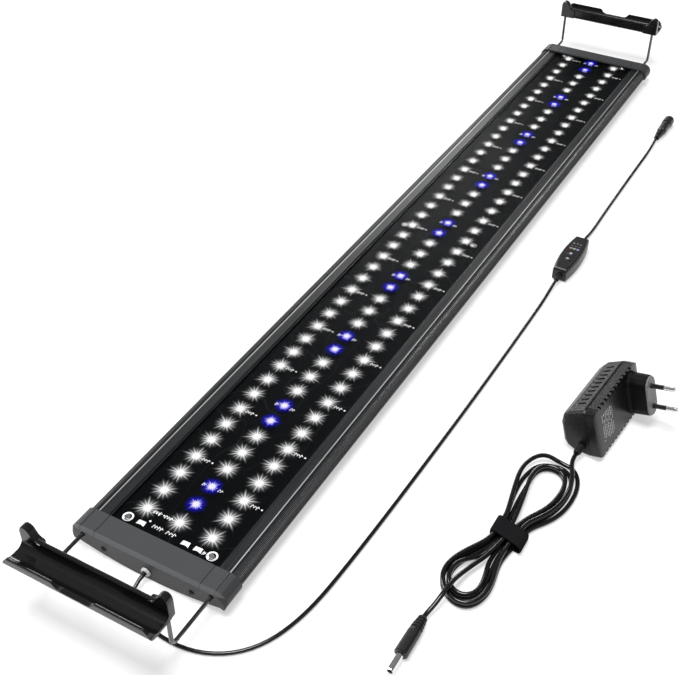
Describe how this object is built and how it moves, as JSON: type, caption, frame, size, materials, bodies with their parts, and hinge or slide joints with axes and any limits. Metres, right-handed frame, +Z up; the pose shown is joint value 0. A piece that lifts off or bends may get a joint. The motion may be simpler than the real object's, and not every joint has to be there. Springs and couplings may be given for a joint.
{
  "type": "led aquarium light",
  "caption": "Long flat LED light for an aquarium, with a clip on a sliding wire bracket at each end, an inline controller and a wall adapter with its lead tied up.",
  "frame": {"origin": "under the middle of the light at rest, on the surface that its back lies on", "axes": "+X along the light, away from the end its cord leaves; +Y across the light, away from the loose cords; +Z up, the way the LEDs face"},
  "size_m": [0.9976, 0.3349, 0.0668],
  "materials": {
    "anodised_aluminium": "satin black anodised",
    "circuit_board": "black solder mask with white LED packages",
    "clear_sheet": "clear polished",
    "screw_steel": "zinc plated",
    "cap_plastic": "dark grey, fine grain",
    "pale_plastic": "light grey",
    "inner_rubber": "matt black",
    "clip_plastic": "satin black",
    "bracket_steel": "blackened steel wire",
    "cord_jacket": "satin black",
    "controller_plastic": "satin black",
    "relief_rubber": "matt black",
    "inner_board": "green solder mask",
    "plug_plastic": "black moulded",
    "contact_metal": "nickel plated",
    "adapter_plastic": "satin black",
    "plate_plastic": "mid grey",
    "transformer_core": "varnished",
    "tie_fabric": "black hook-and-loop tape"
  },
  "bodies": {
    "light": {"housing_extrusion": "anodised_aluminium", "led_circuit_board": "circuit_board", "clear_splash_cover": "clear_sheet", "board_screw_1_left": "screw_steel", "board_screw_1_right": "screw_steel", "board_screw_2_left": "screw_steel", "board_screw_2_right": "screw_steel", "board_screw_3_left": "screw_steel", "board_screw_3_right": "screw_steel", "near_cap_screw_left": "screw_steel", "near_cap_screw_right": "screw_steel", "far_cap_screw_left": "screw_steel", "far_cap_screw_right": "screw_steel", "near_end_cap": "cap_plastic", "far_end_cap": "cap_plastic", "cord_grommet": "pale_plastic", "cord_anchor": "inner_rubber", "near_wire_guide_left": "inner_rubber", "near_wire_guide_right": "inner_rubber", "far_wire_guide_left": "inner_rubber", "far_wire_guide_right": "inner_rubber", "cord_light_to_controller": "cord_jacket", "cord_controller_to_socket": "cord_jacket", "lead_adapter_to_hank": "cord_jacket", "lead_hank": "cord_jacket", "lead_hank_to_plug": "cord_jacket", "controller_lower_shell": "controller_plastic", "controller_upper_shell": "controller_plastic", "controller_inlet_relief": "relief_rubber", "controller_outlet_relief": "relief_rubber", "adapter_strain_relief": "relief_rubber", "dc_plug_liner": "relief_rubber", "controller_board": "inner_board", "adapter_board": "inner_board", "dc_socket_body": "plug_plastic", "dc_plug_body": "plug_plastic", "dc_socket_pin": "contact_metal", "dc_socket_contact": "contact_metal", "dc_plug_barrel": "contact_metal", "plug_pin_lower": "contact_metal", "plug_pin_upper": "contact_metal", "adapter_back_shell": "adapter_plastic", "adapter_front_shell": "adapter_plastic", "plug_block": "adapter_plastic", "plug_end_plate": "plate_plastic", "adapter_transformer": "transformer_core", "hook_and_loop_tie": "tie_fabric"},
    "near_bracket": {"near_rim_clip": "clip_plastic", "near_wire_left": "bracket_steel", "near_wire_right": "bracket_steel", "near_wire_stop_left": "bracket_steel", "near_wire_stop_right": "bracket_steel"},
    "far_bracket": {"far_rim_clip": "clip_plastic", "far_wire_left": "bracket_steel", "far_wire_right": "bracket_steel", "far_wire_stop_left": "bracket_steel", "far_wire_stop_right": "bracket_steel"},
    "power_button": {"button_power": "controller_plastic"},
    "timer_button": {"button_timer": "controller_plastic"}
  },
  "joints": [
    {"name": "near_bracket_slide", "type": "slide", "parent": "light", "child": "near_bracket", "axis": [-1, 0, 0], "range_m": [-0.036, 0.129]},
    {"name": "far_bracket_slide", "type": "slide", "parent": "light", "child": "far_bracket", "axis": [1, 0, 0], "range_m": [-0.0147, 0.15]},
    {"name": "power_button_press", "type": "slide", "parent": "light", "child": "power_button", "axis": [0, 0, -1], "range_m": [0, 0.0004], "stiffness_N_per_m": 300, "springref_m": -0.0002},
    {"name": "timer_button_press", "type": "slide", "parent": "light", "child": "timer_button", "axis": [0, 0, -1], "range_m": [0, 0.0004], "stiffness_N_per_m": 300, "springref_m": -0.0002}
  ]
}
